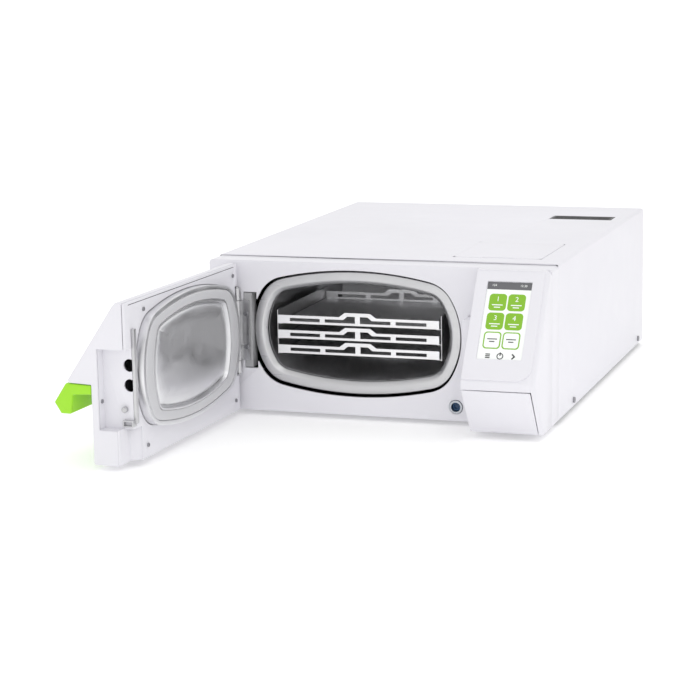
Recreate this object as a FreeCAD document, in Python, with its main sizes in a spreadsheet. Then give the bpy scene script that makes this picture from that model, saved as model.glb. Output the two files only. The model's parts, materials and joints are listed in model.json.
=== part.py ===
import FreeCAD, Part
import Sketcher
import math
import os

# Benchtop steam autoclave, door open, trays in the chamber.
# Machine axes while modelling: X from the left side to the right, Y from the front plate to the
# rear, Z up from the bottom edge of the housing. The door is drawn closed and then turned on its
# hinge. At the end everything moves so that the origin is the middle of the footprint, on the floor.

Vector = FreeCAD.Vector
doc = FreeCAD.newDocument("autoclave")
sheet = doc.addObject("Spreadsheet::Sheet", "sizes")

DOME_STEPS = 6

SIZES = dict(
    # housing
    body_width=400, body_height=175, cover_length=499, frame_depth=31.5, sheet_metal=1.2,
    cover_corner=4, frame_wall=3, frame_drop=1.5, fit_gap=0.5, foot_height=6, foot_radius=13,
    foot_inset=42, rear_clearance=2, vent_side=98, vent_rear=95.5, vent_length=80, vent_width=33,
    # chamber and its mouth
    chamber_x=173.2, chamber_z=93, chamber_half_width=107.5, chamber_half_height=55.4,
    chamber_corner=21, least_corner=6, chamber_bow_top=9, chamber_bow_side=7, chamber_wall=2,
    chamber_depth=275,
    ring_width=14.5, ring_thickness=9, ring_gap=2.4, insulation_gap=0.5, insulation_wall=9,
    band_width=40, band_wall=0.4,
    # door
    hinge_x=34.7, hinge_y=-5, open_angle=92.52, door_left=36.5, door_right=317.5,
    door_face=-3.8, door_top=171, door_wall=3, knee_y=-73.4, knee_z=85.2, brow_y=-18, brow_z=166,
    chin_y=-44.3, lid_face=5.5, lid_thickness=11.5, lid_boss=10, latch_wall_x=303,
    latch_depth=33, latch_bottom=37, latch_top=122, step_depth=12, step_start=285,
    notch_radius=6.7, pocket_wall=2, panel_sheet=2.5, upper_notch_z=104, lower_notch_z=83,
    handle_length=150, handle_nose_y=-87.9, handle_nose_z=63.7, handle_bottom=52.1,
    hinge_pin_radius=2.4, hinge_low=44, hinge_high=142, knuckle_length=14, knuckle_wall=2.1,
    running_gap=0.05, leaf_thickness=2.5,
    # control fascia
    fascia_left=320, fascia_knee_y=-86, fascia_knee_z=64, flap_top=55, fascia_foot_y=-48,
    fascia_wall=3, fascia_corner=8, panel_width=56, panel_height=98, panel_x=358.4, panel_centre_z=124,
    glass_thickness=1.6, flap_wall=2.5, flap_inset=4,
    # lock
    lock_left=305.5, lock_width=10.5, lock_front=-26, lock_low=60, lock_high=119, bolt_radius=3.8,
    # racks and trays
    tray_width=191, tray_depth=170, tray_front_y=11, tray_pitch=17.2, top_tray_z=100.5,
    tray_rail_height=9.5, tray_hump=5, tray_hump_half=22, tray_sheet=0.9, rack_gap=1.2,
    # fill lid in the top
    fill_left=271, fill_front=62, fill_width=102, fill_length=122, fill_sheet=2.4,
    bracket_left=41, port_x=290.6, port_z=15.8, port_radius=7.6, screw_inset=75.7,
    rear_screw_inset=34.9, ring_lip=5, ring_recess=6,
    seal_outer=10, trough_edge=-12.5, trough_depth=5, trough_corner=13, bow_fade=60, lid_stretch=10, dome_shoulder=22,
    boss_radius=22,
    # fan at the rear
    fan_x=85, fan_z=88, fan_size=80, fan_depth=25,
)
for number, (name, value) in enumerate(SIZES.items(), start=1):
    sheet.set("A%d" % number, name)
    sheet.set("B%d" % number, str(value))
    sheet.setAlias("B%d" % number, name)
doc.recompute()


def read(name):
    """A driving size, read back from the sheet."""
    return float(sheet.get(name))


parts = []
door_parts = []


def linked(text):
    """Write sheet names in an expression with the sheet in front of them."""
    words = []
    word = ""
    for letter in text + " ":
        if letter.isalnum() or letter in "_.":
            word += letter
            continue
        words.append("sizes." + word if word in SIZES else word)
        words.append(letter)
        word = ""
    return "".join(words).strip()


def new_body(name, on_door=False):
    """Start one sub-part made of sketches and features."""
    body = doc.addObject("PartDesign::Body", name)
    body.Label = name
    parts.append(body)
    if on_door:
        door_parts.append(body)
    return body


def new_sketch(body, role, offset="0"):
    """A sketch on one of the body's own origin planes, moved along the plane's normal."""
    plane = next(item for item in body.Origin.OriginFeatures if item.Role == role)
    sketch = body.newObject("Sketcher::SketchObject", body.Name + "_outline")
    sketch.AttachmentSupport = [(plane, "")]
    sketch.MapMode = "FlatFace"
    sketch.setExpression("AttachmentOffset.Base.z", linked(offset))
    return sketch


def bind_point(sketch, line, end, across, along):
    """Tie one end of a line, or a circle's centre, to the sketch's origin."""
    for kind, value in (("DistanceX", across), ("DistanceY", along)):
        index = sketch.addConstraint(Sketcher.Constraint(kind, -1, 1, line, end, 1.0))
        label = "%s_%d" % (kind, line)
        sketch.renameConstraint(index, label)
        sketch.setExpression("Constraints." + label, linked(value))


def draw_polygon(sketch, points):
    """A closed outline of straight lines whose corners are bound to the sheet."""
    first = sketch.GeometryCount
    count = len(points)
    for index in range(count):
        start = Vector(50 * math.cos(index), 50 * math.sin(index), 0)
        finish = Vector(50 * math.cos(index + 1), 50 * math.sin(index + 1), 0)
        sketch.addGeometry(Part.LineSegment(start, finish))
    for index in range(count):
        after = first + (index + 1) % count
        sketch.addConstraint(Sketcher.Constraint("Coincident", first + index, 2, after, 1))
    for index, (across, along) in enumerate(points):
        bind_point(sketch, first + index, 1, across, along)


def draw_rectangle(sketch, left, low, right, high):
    draw_polygon(sketch, [(left, low), (right, low), (right, high), (left, high)])


def draw_circle(sketch, across, along, radius):
    index = sketch.addGeometry(Part.Circle(Vector(1, 1, 0), Vector(0, 0, 1), 1))
    bind_point(sketch, index, 3, across, along)
    number = sketch.addConstraint(Sketcher.Constraint("Radius", index, 1.0))
    sketch.renameConstraint(number, "radius_%d" % index)
    sketch.setExpression("Constraints.radius_%d" % index, linked(radius))


def extrude(body, sketch, kind, length, toward_plus=True, middle=False):
    """Pad or Pocket a sketch; toward_plus says which way along the machine axis it grows."""
    feature = body.newObject("PartDesign::" + kind, body.Name + "_" + kind.lower())
    feature.Profile = sketch
    feature.setExpression("Length", linked(length))
    normal = sketch.getGlobalPlacement().Rotation.multVec(Vector(0, 0, 1))
    positive = normal.x + normal.y + normal.z > 0
    feature.Midplane = middle
    feature.Reversed = (positive != toward_plus) != (kind == "Pocket")
    sketch.Visibility = False
    return feature


# The XZ plane's normal points to -Y, so a depth along Y is turned over before it is used.
ROLE = {"X": "YZ_Plane", "Y": "XZ_Plane", "Z": "XY_Plane"}


def offset_along(axis, place):
    return "-(%s)" % place if axis == "Y" else place


def shape_between(body, kind, axis, start, length, draw):
    """Pad or Pocket the outline that draw() makes, from start along +axis for length."""
    sketch = new_sketch(body, ROLE[axis], offset_along(axis, start))
    draw(sketch)
    doc.recompute()
    before = body.Shape.Volume if body.Tip else 0
    feature = extrude(body, sketch, kind, length)
    doc.recompute()
    if kind == "Pocket" and body.Shape.Volume >= before - 0.01:
        raise RuntimeError("the pocket in %s cuts nothing" % body.Label)
    return feature


def block(body, kind, left, front, low, width, depth, height):
    """A rectangular Pad or Pocket, given by its lowest corner and its three sizes."""
    shape_between(body, kind, "Z", low, height, lambda sketch: draw_rectangle(
        sketch, left, front, "%s + (%s)" % (left, width), "%s + (%s)" % (front, depth)))


def cylinder(body, kind, axis, across, along, start, length, radius):
    """A round Pad or Pocket along an axis; across and along are the sketch's own directions."""
    shape_between(body, kind, axis, start, length,
                  lambda sketch: draw_circle(sketch, across, along, radius))


def round_edges(body, radius, chosen):
    """Fillet the edges that chosen() accepts, by their middle point and direction."""
    names = []
    for number, edge in enumerate(body.Shape.Edges, start=1):
        middle = edge.valueAt((edge.FirstParameter + edge.LastParameter) / 2)
        start, finish = edge.valueAt(edge.FirstParameter), edge.valueAt(edge.LastParameter)
        if chosen(middle, (finish - start)):
            names.append("Edge%d" % number)
    if not names:
        raise RuntimeError("no edge to round on " + body.Label)
    rounded = body.Tip
    fillet = body.newObject("PartDesign::Fillet", body.Name + "_fillet")
    fillet.Base = (rounded, names)
    fillet.setExpression("Radius", linked(radius))
    doc.recompute()


def along_axis(step, axis):
    return abs(getattr(step, axis)) > 0.999 * step.Length > 0


def bowed_wire(half_width, half_height, corner, bow_top, bow_side, y):
    """A rounded outline whose four sides bow outward, round the chamber's centre line."""
    corner_x = half_width - corner - bow_side
    corner_z = half_height - corner - bow_top
    top_radius = (corner_x ** 2 + (corner + bow_top) ** 2 - corner ** 2) / (2 * bow_top)
    side_radius = (corner_z ** 2 + (corner + bow_side) ** 2 - corner ** 2) / (2 * bow_side)
    lift = half_height - top_radius
    shift = half_width - side_radius

    def on_corner(centre_x, centre_z):
        """Where the corner arc touches the big arc with this centre."""
        run_x, run_z = corner_x - centre_x, corner_z - centre_z
        reach = math.hypot(run_x, run_z)
        return corner_x + corner * run_x / reach, corner_z + corner * run_z / reach

    top = on_corner(0, lift)
    side = on_corner(shift, 0)
    middle_turn = (math.atan2(top[1] - corner_z, top[0] - corner_x)
                   + math.atan2(side[1] - corner_z, side[0] - corner_x)) / 2
    middle = (corner_x + corner * math.cos(middle_turn), corner_z + corner * math.sin(middle_turn))
    centre_x, centre_z = read("chamber_x"), read("chamber_z")

    def place(point, flip_x, flip_z):
        return Vector(centre_x + flip_x * point[0], y, centre_z + flip_z * point[1])

    arcs = []
    for flip_x, flip_z in ((1, 1), (-1, 1), (-1, -1), (1, -1)):
        ends = [place(side, flip_x, flip_z), place(top, flip_x, flip_z)]
        arcs.append(Part.Arc(ends[0], place(middle, flip_x, flip_z), ends[1]).toShape())
    for flip in (1, -1):
        arcs.append(Part.Arc(place(top, 1, flip), place((0, half_height), 1, flip),
                             place(top, -1, flip)).toShape())
        arcs.append(Part.Arc(place(side, flip, 1), place((half_width, 0), flip, 1),
                             place(side, flip, -1)).toShape())
    return Part.Wire(Part.__sortEdges__(arcs))


def lid_wire(grow, y):
    """The outline of the lid's trough and dome, taller in its frame than the chamber's own."""
    flatter = 1 - (read("trough_edge") - grow) / read("bow_fade")
    return bowed_wire(read("chamber_half_width") + grow,
                      read("chamber_half_height") + grow + read("lid_stretch"), read("trough_corner"),
                      read("chamber_bow_top") * flatter, read("chamber_bow_side") * flatter, y)


def mouth_wire(grow, y):
    """The chamber's outline made larger all round by grow, at a depth y."""
    corner = max(read("chamber_corner") + grow, read("least_corner"))
    return bowed_wire(read("chamber_half_width") + grow, read("chamber_half_height") + grow, corner,
                      read("chamber_bow_top"), read("chamber_bow_side"), y)


def lid_prism(grow, start, length):
    face = Part.Face(lid_wire(grow, start))
    return face.extrude(Vector(0, length, 0))


def mouth_prism(grow, start, length):
    return Part.Face(mouth_wire(grow, start)).extrude(Vector(0, length, 0))


def mouth_loft(grow_start, start, grow_end, end):
    return Part.makeLoft([mouth_wire(grow_start, start), mouth_wire(grow_end, end)], True)


def new_feature(name, shape, on_door=False):
    """A sub-part that follows the bowed mouth outline, which no sketch tool draws."""
    item = doc.addObject("Part::Feature", name)
    item.Label = name
    item.Shape = shape
    parts.append(item)
    if on_door:
        door_parts.append(item)
    return item


def grouped(name, solids, on_door=False):
    return new_feature(name, Part.makeCompound(solids), on_door)


# ---------------------------------------------------------------- housing

def make_base_pan():
    body = new_body("base_pan")
    block(body, "Pad", "sheet_metal + fit_gap", "frame_depth + fit_gap", "0",
          "body_width - 2 * sheet_metal - 2 * fit_gap", "cover_length - rear_clearance - fit_gap", "14")
    block(body, "Pocket", "2 * sheet_metal + fit_gap", "frame_depth + fit_gap + sheet_metal", "sheet_metal",
          "body_width - 4 * sheet_metal - 2 * fit_gap",
          "cover_length - rear_clearance - fit_gap - 2 * sheet_metal", "20")


def make_outer_cover():
    body = new_body("outer_cover")
    block(body, "Pad", "0", "frame_depth", "0", "body_width", "cover_length", "body_height")
    round_edges(body, "cover_corner", lambda middle, step: along_axis(step, "y")
                and middle.z > read("body_height") / 2)
    block(body, "Pocket", "sheet_metal", "frame_depth - 1", "-1", "body_width - 2 * sheet_metal",
          "cover_length + 2", "body_height - sheet_metal + 1")
    block(body, "Pocket", "fill_left - fit_gap", "fill_front - fit_gap", "body_height - 3",
          "fill_width + 2 * fit_gap", "fill_length + 2 * fit_gap", "6")
    block(body, "Pocket", "body_width - vent_side", "cover_length - vent_rear", "body_height - 3",
          "vent_length", "vent_width", "6")
    for deep in ("frame_depth + screw_inset", "frame_depth + cover_length - rear_screw_inset"):
        cylinder(body, "Pocket", "X", deep, "7", "-1", "body_width + 2", "1.8")


def make_vent_grille():
    """The louvred insert in the rear right corner of the top."""
    body = new_body("vent_grille")
    block(body, "Pad", "body_width - vent_side + fit_gap", "cover_length - vent_rear + fit_gap",
          "body_height - 6", "vent_length - 2 * fit_gap", "vent_width - 2 * fit_gap", "6")
    for slot in range(4):
        block(body, "Pocket", "body_width - vent_side + 4", "cover_length - vent_rear + 4 + %d * 7" % slot,
              "body_height - 7", "vent_length - 8", "4", "8")


def make_rear_panel():
    body = new_body("rear_panel")
    inner = "body_width - 2 * sheet_metal - 2 * fit_gap"
    block(body, "Pad", "sheet_metal + fit_gap", "frame_depth + cover_length - rear_clearance", "0",
          inner, "sheet_metal", "body_height - sheet_metal - fit_gap")
    rear = "frame_depth + cover_length - rear_clearance - 1"
    cylinder(body, "Pocket", "Y", "fan_x", "fan_z", rear, "5", "fan_size / 2 - 3")
    block(body, "Pocket", "300", rear, "24", "48", "5", "28")
    cylinder(body, "Pocket", "Y", "222", "42", rear, "5", "8.3")
    cylinder(body, "Pocket", "Y", "258", "42", rear, "5", "8.3")
    cylinder(body, "Pocket", "Y", "330", "112", rear, "5", "23.5")
    for across in ("20", "body_width / 2", "body_width - 20"):
        for tall in ("20", "body_height - 14"):
            cylinder(body, "Pocket", "Y", across, tall, rear, "5", "1.7")


def cut_with(name, base, tool_shape):
    """Cut a sketched body with a bowed tool, and keep the result as the sub-part."""
    tool = doc.addObject("Part::Feature", name + "_tool")
    tool.Shape = tool_shape
    base.Label = name + "_blank"
    cut = doc.addObject("Part::Cut", name)
    cut.Label = name
    cut.Base = base
    cut.Tool = tool
    for group in (parts, door_parts):
        if base in group:
            group[group.index(base)] = cut
    doc.recompute()
    return cut


def make_front_frame():
    body = new_body("front_frame")
    block(body, "Pad", "0", "0", "0", "body_width", "frame_depth", "body_height - frame_drop")
    round_edges(body, "cover_corner", lambda middle, step: along_axis(step, "y")
                and middle.z > read("body_height") / 2)
    block(body, "Pocket", "frame_wall", "frame_wall", "frame_wall", "body_width - 2 * frame_wall",
          "frame_depth", "body_height - frame_drop - 2 * frame_wall")
    block(body, "Pocket", "bracket_left - fit_gap", "-1", "hinge_low + 5", "16", "frame_wall + 2",
          "hinge_high - hinge_low - 10")
    block(body, "Pocket", "lock_left - fit_gap", "-1", "lock_low - fit_gap", "lock_width + 2 * fit_gap",
          "frame_wall + 2", "lock_high - lock_low + 2 * fit_gap")
    cylinder(body, "Pocket", "Y", "port_x", "port_z", "-1", "frame_wall + 2", "port_radius + fit_gap")
    cut_with("front_frame", body,
             mouth_prism(read("ring_width") + read("ring_gap"), -1, read("frame_wall") + 3))


def make_feet():
    solids = []
    for across in (read("foot_inset"), read("body_width") - read("foot_inset")):
        for deep in (read("frame_depth") + read("foot_inset"),
                     read("frame_depth") + read("cover_length") - read("foot_inset")):
            pad = Part.makeCone(read("foot_radius") - 2, read("foot_radius"), read("foot_height"),
                                Vector(across, deep, -read("foot_height")))
            solids.append(pad)
    grouped("rubber_feet", solids)


def button_screw(place, direction, radius, length):
    """A pan head screw whose head sits outside place, with its shank going in along direction."""
    head = Part.makeCylinder(radius, radius * 0.6, place, -direction)
    socket = Part.makeCylinder(radius * 0.45, radius * 0.4, place - direction * radius * 0.6, direction)
    shank = Part.makeCylinder(radius * 0.5, length, place, direction)
    return head.cut(socket).fuse(shank).removeSplitter()


def make_cover_screws():
    solids = []
    for deep in (read("frame_depth") + read("screw_inset"),
                 read("frame_depth") + read("cover_length") - read("rear_screw_inset")):
        for across, turn in ((0, 1), (read("body_width"), -1)):
            solids.append(button_screw(Vector(across, deep, 7), Vector(turn, 0, 0), 3.4, 0.9))
    grouped("cover_screws", solids)


# ---------------------------------------------------------------- chamber

def make_chamber():
    wall, depth = read("chamber_wall"), read("chamber_depth")
    inside = mouth_prism(0, -1, depth + 1)
    ring_front = read("ring_recess") + 0.2
    ring_rear = read("ring_recess") + read("ring_thickness")
    outside = mouth_prism(wall, ring_rear, depth + wall - ring_rear)
    new_feature("chamber_vessel", outside.cut(inside))
    ring = mouth_prism(read("ring_width"), ring_front, ring_rear - ring_front)
    lip = mouth_loft(read("ring_lip"), ring_front - 0.1, 0, ring_front + read("ring_lip"))
    new_feature("chamber_flange", ring.cut(inside).cut(lip))
    band_from = wall
    band_to = wall + read("band_wall")
    bands = []
    for number in range(3):
        start = 45 + number * (read("chamber_depth") - 95) / 2
        bands.append(mouth_prism(band_to, start, read("band_width")).cut(
            mouth_prism(band_from, start - 1, read("band_width") + 2)))
    grouped("heater_bands", bands)
    sleeve_from = band_to + read("insulation_gap")
    sleeve = mouth_prism(sleeve_from + read("insulation_wall"), read("frame_depth"), depth)
    back_middle = Vector(read("chamber_x"), depth, read("chamber_z"))
    outlet = Part.makeCylinder(10, 40, back_middle, Vector(0, 1, 0))
    new_feature("insulation_jacket",
                sleeve.cut(mouth_prism(sleeve_from, read("frame_depth") - 1, depth - 8)).cut(outlet))


def make_rack():
    """Two ribbed side sheets tied together at the back, standing in the chamber."""
    solids = []
    gap, sheet_wall = read("rack_gap"), read("tray_sheet")
    half = read("tray_width") / 2 + gap
    low = read("top_tray_z") - 2 * read("tray_pitch") - 2
    high = read("top_tray_z") + read("tray_rail_height") + 5
    start = read("tray_front_y") + 4
    depth = read("tray_depth") + 4
    centre = read("chamber_x")
    for flip in (-1, 1):
        sheet_x = centre + flip * (half + sheet_wall / 2) - sheet_wall / 2
        side = Part.makeBox(sheet_wall, depth, high - low, Vector(sheet_x, start, low))
        for level in range(3):
            shelf_z = read("top_tray_z") - level * read("tray_pitch") - sheet_wall - 0.4
            shelf_x = sheet_x - 5 if flip > 0 else sheet_x
            side = side.fuse(Part.makeBox(5 + sheet_wall, depth, sheet_wall, Vector(shelf_x, start, shelf_z)))
        solids.append(side)
    back = Part.makeBox(2 * half + 2 * sheet_wall, sheet_wall, 5,
                        Vector(centre - half - sheet_wall, start + depth, low))
    rack = solids[0].fuse([solids[1], back]).removeSplitter()
    new_feature("tray_rack", rack)


def make_tray(number):
    """A shallow perforated tray with a slotted, humped upstand at each end."""
    name = "tray_%d" % (number + 1)
    body = new_body(name)
    low = "top_tray_z - %d * tray_pitch" % number
    left = "chamber_x - tray_width / 2"
    block(body, "Pad", left, "tray_front_y", low, "tray_width", "tray_depth", "tray_sheet")

    def upstand(sketch):
        right = "chamber_x + tray_width / 2"
        rail = "%s + tray_rail_height" % low
        hump = "%s + tray_hump" % rail
        outer, inner = "tray_hump_half", "(tray_hump_half - 7)"
        draw_polygon(sketch, [(left, low), (right, low), (right, rail), ("chamber_x + " + outer, rail),
                              ("chamber_x + " + inner, hump), ("chamber_x - " + inner, hump),
                              ("chamber_x - " + outer, rail), (left, rail)])
        slot_low = "%s + 2.6" % low
        slot_high = "%s + 6.4" % low
        for start in ("chamber_x - tray_width / 2 + 14.5", "chamber_x + tray_width / 2 - 50.5"):
            draw_rectangle(sketch, start, slot_low, "%s + 36" % start, slot_high)
        for sign in ("-", "+"):
            post, shoulder, end = ("chamber_x %s %s" % (sign, reach)
                                   for reach in ("3", "(tray_hump_half - 10)", "39"))
            draw_polygon(sketch, [(post, slot_low), (end, slot_low), (end, slot_high),
                                  ("chamber_x %s (tray_hump_half - 5)" % sign, slot_high),
                                  (shoulder, slot_high + " + 4"), (post, slot_high + " + 4")])
    for place in ("tray_front_y", "tray_front_y + tray_depth - tray_sheet"):
        shape_between(body, "Pad", "Y", place, "tray_sheet", upstand)


# ---------------------------------------------------------------- door, drawn closed

def make_door_cover():
    body = new_body("door_cover", True)
    back = "door_face - 3"

    def section(sketch):
        draw_polygon(sketch, [(back, "0"), (back, "door_top"), ("door_face - 10", "door_top"),
                              ("brow_y", "brow_z"), ("knee_y", "knee_z"), ("chin_y", "knee_z - 1"),
                              ("chin_y", "0")])

    def hollow(sketch):
        wall = "door_wall"
        draw_polygon(sketch, [(back + " + 1", wall), (back + " + 1", "door_top - " + wall),
                              ("door_face - 10", "door_top - " + wall),
                              ("brow_y + 1.5", "brow_z - " + wall),
                              ("knee_y + 5.6", "knee_z + 1.2"), ("chin_y + " + wall, "knee_z + 1.2"),
                              ("chin_y + " + wall, wall)])
    shape_between(body, "Pad", "X", "door_left", "door_right - door_left", section)
    round_edges(body, "2.5", lambda middle, step: along_axis(step, "x") and middle.y < -11
                and (middle.z < 1 or middle.y < read("chin_y") - 1 or middle.z > read("knee_z")))
    shape_between(body, "Pocket", "X", "door_left + door_wall", "door_right - door_left - 2 * door_wall",
                  hollow)
    block(body, "Pocket", "latch_wall_x - door_wall", "door_face - latch_depth", "latch_bottom", "40",
          "latch_depth + 1", "latch_top - latch_bottom")
    block(body, "Pocket", "step_start - 3", "door_face - step_depth", "-1", "60", "step_depth + 1",
          "latch_bottom + 2")
    block(body, "Pocket", "door_left - 1", "hinge_y - 7", "hinge_low - 3", "7", "9",
          "hinge_high - hinge_low + 6")


def make_door_panel():
    """The inner moulding: a plate round the lid, the latch pocket and the step below it."""
    body = new_body("door_panel", True)
    gap = "fit_gap"
    block(body, "Pad", "door_left + " + gap, "door_face - panel_sheet", "1", "step_start - door_left - " + gap,
          "panel_sheet", "door_top - 2")
    block(body, "Pad", "step_start - 1", "door_face - panel_sheet", "latch_top", "door_right - step_start - 0.5",
          "panel_sheet", "door_top - latch_top - 1")
    block(body, "Pad", "step_start - 1", "door_face - panel_sheet", "latch_bottom", "latch_wall_x - step_start + 1",
          "panel_sheet", "latch_top - latch_bottom + 1")

    def ramp(sketch):
        draw_polygon(sketch, [("step_start - 2", "door_face"), ("step_start - 2", "door_face - panel_sheet"),
                              ("step_start + 6", "door_face - step_depth"),
                              ("door_right - 0.5", "door_face - step_depth"),
                              ("door_right - 0.5", "door_face - step_depth + 2"),
                              ("step_start + 8", "door_face - step_depth + 2")])
    shape_between(body, "Pad", "Z", "1", "latch_bottom", ramp)
    wall = "pocket_wall"
    back = "door_face - latch_depth - " + wall
    width = "door_right - door_wall - 0.3 - latch_wall_x + " + wall
    block(body, "Pad", "latch_wall_x - " + wall, back, "latch_bottom - " + wall, wall,
          "latch_depth - step_depth + 4", wall + " + 1")
    block(body, "Pad", "latch_wall_x - " + wall, back, "latch_bottom", wall, "latch_depth + " + wall,
          "latch_top - latch_bottom")
    block(body, "Pad", "latch_wall_x - " + wall, back, "latch_bottom - " + wall, width, wall,
          "latch_top - latch_bottom + 2 * " + wall)
    block(body, "Pad", "latch_wall_x - " + wall, back, "latch_top", width, "latch_depth", wall)
    block(body, "Pad", "latch_wall_x - " + wall, back, "latch_bottom - " + wall, width,
          "latch_depth - step_depth + 4", wall)
    for height in ("upper_notch_z", "lower_notch_z"):
        cylinder(body, "Pocket", "X", "door_face - 3", height, "latch_wall_x - 7", "9", "notch_radius")
    block(body, "Pocket", "door_left - 1", "door_face - 4", "hinge_low - 3", "7", "5",
          "hinge_high - hinge_low + 6")
    block(body, "Pocket", "door_left - 1", "door_face - 4", "hinge_low + knuckle_length - 2", "14", "5",
          "hinge_high - hinge_low - 2 * knuckle_length + 4")
    for across in ("door_left + 12", "step_start - 12"):
        for height in ("14", "door_top - 13"):
            cylinder(body, "Pocket", "Y", across, height, "door_face - 4", "5", "1.25")
    cut_with("door_panel", body,
             mouth_prism(read("ring_width") + 0.6, read("door_face") - 20, 40))


def make_lid():
    """The stainless pressure lid: a rim with a silicone seal, then a trough round a pressed dome."""
    face, thick, boss = read("lid_face"), read("lid_thickness"), read("lid_boss")
    outer, edge, depth = read("seal_outer"), read("trough_edge"), read("trough_depth")
    rim = mouth_prism(read("ring_width"), face - thick, thick)
    middle = Vector(read("chamber_x"), face - thick - boss, read("chamber_z"))
    stem = Part.makeCylinder(read("boss_radius"), boss + 1, middle, Vector(0, 1, 0))
    shoulder = []
    for step in range(DOME_STEPS + 1):
        turn = math.radians(90) * step / DOME_STEPS
        inward = read("dome_shoulder") * (1 - math.cos(turn))
        shoulder.append(lid_wire(edge - 2 - inward, face - depth + depth * math.sin(turn)))
    dome = Part.makeLoft(shoulder, True, True)
    trough = Part.makeLoft([lid_wire(edge, face + 0.1), lid_wire(edge - 1, face - depth)], True, True)
    groove = mouth_prism(outer, face - 4, 5).cut(lid_prism(edge + 2, face - 5, 7))
    lid = rim.fuse(stem).cut(trough).fuse(dome).cut(groove)
    new_feature("pressure_lid", lid.removeSplitter(), True)
    seal = mouth_prism(outer - 0.2, face - 3.9, 4.1).cut(lid_prism(edge + 2.2, face - 5, 7))
    new_feature("lid_seal", seal, True)


def make_door_bridge():
    """The steel bridge behind the lid that joins it to the hinge arms and the latch."""
    body = new_body("door_bridge", True)
    back = "lid_face - lid_thickness - lid_boss - 3"
    block(body, "Pad", "door_left + 6", back, "chamber_z - 26", "latch_wall_x - door_left - 12", "3", "52")
    plate = new_body("latch_plate", True)
    block(plate, "Pad", "latch_wall_x - 5.5", "door_face + 0.3", "latch_bottom + 6", "5.5", "3.2",
          "latch_top - latch_bottom + 14")


def make_door_hinge():
    """Two knuckles on arms that reach into the door, above and below the fixed leaf."""
    outer = read("hinge_pin_radius") + read("running_gap") + read("knuckle_wall")
    axis_x, axis_y = read("hinge_x"), read("hinge_y")
    knuckles = []
    for low in (read("hinge_low"), read("hinge_high") - read("knuckle_length")):
        tall = read("knuckle_length")
        barrel = Part.makeCylinder(outer, tall, Vector(axis_x, axis_y, low))
        arm = Part.makeBox(18, 3, tall, Vector(axis_x, axis_y - outer, low))
        bore = Part.makeCylinder(read("hinge_pin_radius") + read("running_gap"), tall + 2,
                                 Vector(axis_x, axis_y, low - 1))
        knuckles.append(barrel.fuse(arm).cut(bore).removeSplitter())
    grouped("hinge_knuckles", knuckles, True)


def make_handle():
    """The grip under the door's knee: a web across the top and a lip to pull by."""
    body = new_body("door_handle", True)

    def section(sketch):
        draw_polygon(sketch, [("chin_y - 0.3", "knee_z - 1.8"), ("knee_y - 0.6", "knee_z - 0.8"),
                              ("handle_nose_y", "handle_nose_z"), ("handle_nose_y + 7.6", "handle_bottom"),
                              ("handle_nose_y + 19", "handle_bottom"),
                              ("handle_nose_y + 22", "knee_z - 12.5"), ("chin_y - 0.3", "knee_z - 11.5")])
    shape_between(body, "Pad", "X", "door_right - handle_length", "handle_length", section)
    round_edges(body, "2", lambda middle, step: along_axis(step, "x")
                and middle.y < read("chin_y") - 5)


def make_door_screws():
    solids = []
    inset = 12
    high = read("door_top") - 13
    for across, tall in ((read("door_left") + inset, high), (read("step_start") - inset, high),
                         (read("door_left") + inset, 14), (read("step_start") - inset, 14)):
        solids.append(button_screw(Vector(across, read("door_face"), tall), Vector(0, -1, 0), 2.2, 7))
    grouped("door_screws", solids, True)


# ---------------------------------------------------------------- hinge and lock on the housing

def make_fixed_hinge():
    outer = read("hinge_pin_radius") + read("knuckle_wall")
    axis_x, axis_y = read("hinge_x"), read("hinge_y")
    low = read("hinge_low") + read("knuckle_length") + 0.5
    tall = read("hinge_high") - read("hinge_low") - 2 * read("knuckle_length") - 1
    thick = read("leaf_thickness")
    barrel = Part.makeCylinder(outer, tall, Vector(axis_x, axis_y, low))
    leaf = Part.makeBox(13, thick, tall, Vector(axis_x, -thick - 0.1, low))
    hole = Part.makeCylinder(read("hinge_pin_radius"), tall + 2, Vector(axis_x, axis_y, low - 1))
    body = barrel.fuse(leaf).cut(hole)
    screws = []
    for height in (low + tall * 0.22, low + tall * 0.78):
        place = Vector(axis_x + 9.5, -thick - 0.1, height)
        body = body.cut(Part.makeCylinder(1.6, 6, place - Vector(0, 1, 0), Vector(0, 1, 0)))
        screws.append(button_screw(place, Vector(0, 1, 0), 2.6, 6))
    new_feature("hinge_leaf", body.removeSplitter())
    grouped("hinge_screws", screws)
    pin = new_body("hinge_pin")
    cylinder(pin, "Pad", "Z", "hinge_x", "hinge_y", "hinge_low - 1.5", "hinge_high - hinge_low + 3",
             "hinge_pin_radius")
    bracket = new_body("hinge_bracket")
    block(bracket, "Pad", "bracket_left", "0.4", "hinge_low + 6", "9.4", "14",
          "hinge_high - hinge_low - 12")
    for share in ("0.22", "0.78"):
        leaf_tall = "(hinge_high - hinge_low - 2 * knuckle_length - 1)"
        height = "hinge_low + knuckle_length + 0.5 + %s * %s" % (leaf_tall, share)
        cylinder(bracket, "Pocket", "Y", "hinge_x + 9.5", height, "-1", "10", "1.4")


def make_lock():
    body = new_body("lock_housing")
    block(body, "Pad", "lock_left", "lock_front", "lock_low", "lock_width", "20 - lock_front",
          "lock_high - lock_low")
    for name in ("upper", "lower"):
        height = name + "_notch_z"
        cylinder(body, "Pocket", "X", "door_face - 5.5", height, "lock_left - 1", "10.5",
                 "bolt_radius + 0.3")
        bolt = new_body("lock_bolt_" + name)
        cylinder(bolt, "Pad", "X", "door_face - 5.5", height, "lock_left + 0.3", "8.8", "bolt_radius")


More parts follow.
